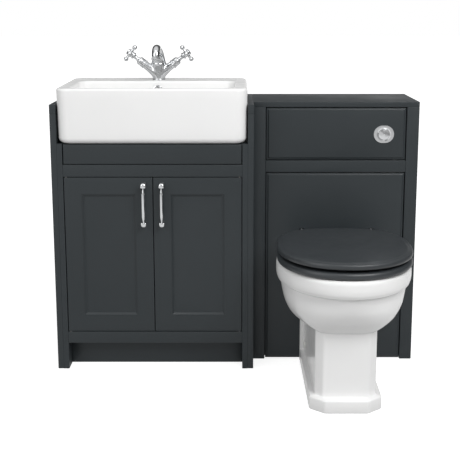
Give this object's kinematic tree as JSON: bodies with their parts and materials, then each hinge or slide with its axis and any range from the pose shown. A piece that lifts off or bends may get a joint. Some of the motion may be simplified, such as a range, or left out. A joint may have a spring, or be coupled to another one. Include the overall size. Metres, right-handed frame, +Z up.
{
  "type": "toilet and basin combination unit",
  "caption": "Floor-standing bathroom run: a two-door vanity cabinet with a semi-recessed basin and crosshead tap, beside a concealed-cistern cabinet with a back-to-wall pan, seat and lid.",
  "frame": {"origin": "middle of the whole run's footprint, on the floor", "axes": "+X to the right as the user faces the run, +Y towards the wall, +Z up"},
  "size_m": [1.1, 0.705, 0.9818],
  "materials": {
    "graphite_paint": "satin paint on wood board",
    "carcass_board": "matt faced board",
    "white_ceramic": "gloss glaze",
    "polished_chrome": "polished",
    "zinc_steel": "zinc plated",
    "brass_fittings": "turned",
    "white_plastic": "moulded",
    "blue_plastic": "moulded",
    "black_plastic": "moulded",
    "black_rubber": "moulded"
  },
  "bodies": {
    "cabinet": {"end_panel_left": "graphite_paint", "end_panel_right": "graphite_paint", "end_caps": "graphite_paint", "carcass_sides": "carcass_board", "carcass_base": "carcass_board", "carcass_back": "carcass_board", "vanity_wall_rail": "carcass_board", "vanity_top_rail": "graphite_paint", "vanity_bottom_rail": "graphite_paint", "vanity_fascia": "graphite_paint", "vanity_plinth": "graphite_paint", "basin_bearers": "carcass_board", "shelf": "carcass_board", "shelf_pins": "zinc_steel", "pivot_pins": "zinc_steel", "basin": "white_ceramic", "overflow_ring": "polished_chrome", "waste_body": "polished_chrome", "bottle_trap": "polished_chrome", "tap_body": "polished_chrome", "tap_spout": "polished_chrome", "tap_bonnets": "polished_chrome", "tap_fixing": "brass_fittings", "wc_sides": "carcass_board", "wc_stiles": "graphite_paint", "wc_top": "graphite_paint", "wc_battens": "carcass_board", "wc_mid_rail": "graphite_paint", "wc_upper_panel": "graphite_paint", "wc_lower_panel": "graphite_paint", "wc_wall_rails": "carcass_board", "cistern_tank": "white_plastic", "cistern_lid": "white_plastic", "fill_valve": "black_plastic", "flush_valve": "white_plastic", "flush_pipe": "white_plastic", "flush_seal": "black_rubber", "button_bezel": "polished_chrome", "pan": "white_ceramic", "pan_fixings": "zinc_steel", "soil_connector": "black_rubber", "hinge_pillars": "polished_chrome", "hinge_rod": "polished_chrome"},
    "door_left": {"door_left": "graphite_paint", "handle_left": "polished_chrome", "pivot_bushes_left": "brass_fittings"},
    "door_right": {"door_right": "graphite_paint", "handle_right": "polished_chrome", "pivot_bushes_right": "brass_fittings"},
    "seat": {"seat_ring": "graphite_paint", "seat_knuckles": "polished_chrome", "seat_buffers": "black_rubber"},
    "lid": {"lid": "graphite_paint", "lid_knuckles": "polished_chrome", "lid_buffers": "black_rubber"},
    "tap_handle_left": {"tap_handle_left": "polished_chrome"},
    "tap_handle_right": {"tap_handle_right": "polished_chrome"},
    "waste_plug": {"waste_plug": "polished_chrome"},
    "flush_button": {"flush_button": "polished_chrome"},
    "flush_core": {"flush_core": "blue_plastic"}
  },
  "joints": [
    {"name": "door_left_hinge", "type": "hinge", "parent": "cabinet", "child": "door_left", "pos_m": [-0.5075, 0.0325, 0.36], "axis": [0, 0, -1], "range_deg": [0, 95]},
    {"name": "door_right_hinge", "type": "hinge", "parent": "cabinet", "child": "door_right", "pos_m": [0.0075, 0.0325, 0.36], "axis": [0, 0, 1], "range_deg": [0, 95]},
    {"name": "seat_hinge", "type": "hinge", "parent": "cabinet", "child": "seat", "pos_m": [0.3, 0.0565, 0.417], "axis": [-1, 0, 0], "range_deg": [0, 92]},
    {"name": "lid_hinge", "type": "hinge", "parent": "seat", "child": "lid", "pos_m": [0.3, 0.0565, 0.417], "axis": [1, 0, 0], "range_deg": [-92, 0]},
    {"name": "tap_left_turn", "type": "hinge", "parent": "cabinet", "child": "tap_handle_left", "pos_m": [-0.25, 0.2905, 0.88129], "axis": [-0.788, 0, 0.6157], "range_deg": [0, 90]},
    {"name": "tap_right_turn", "type": "hinge", "parent": "cabinet", "child": "tap_handle_right", "pos_m": [-0.25, 0.2905, 0.88129], "axis": [0.788, 0, 0.6157], "range_deg": [0, 90]},
    {"name": "plug_slide", "type": "slide", "parent": "cabinet", "child": "waste_plug", "axis": [0, 0, 1], "range_m": [0, 0.009]},
    {"name": "button_press", "type": "slide", "parent": "cabinet", "child": "flush_button", "axis": [0, 1, 0], "range_m": [0, 0.006], "stiffness_N_per_m": 600, "springref_m": -0.002},
    {"name": "core_lift", "type": "slide", "parent": "cabinet", "child": "flush_core", "axis": [0, 0, 1], "range_m": [0, 0.024]}
  ],
  "couplings": [
    {"joint": "core_lift", "follows": "button_press", "ratio": 4}
  ]
}
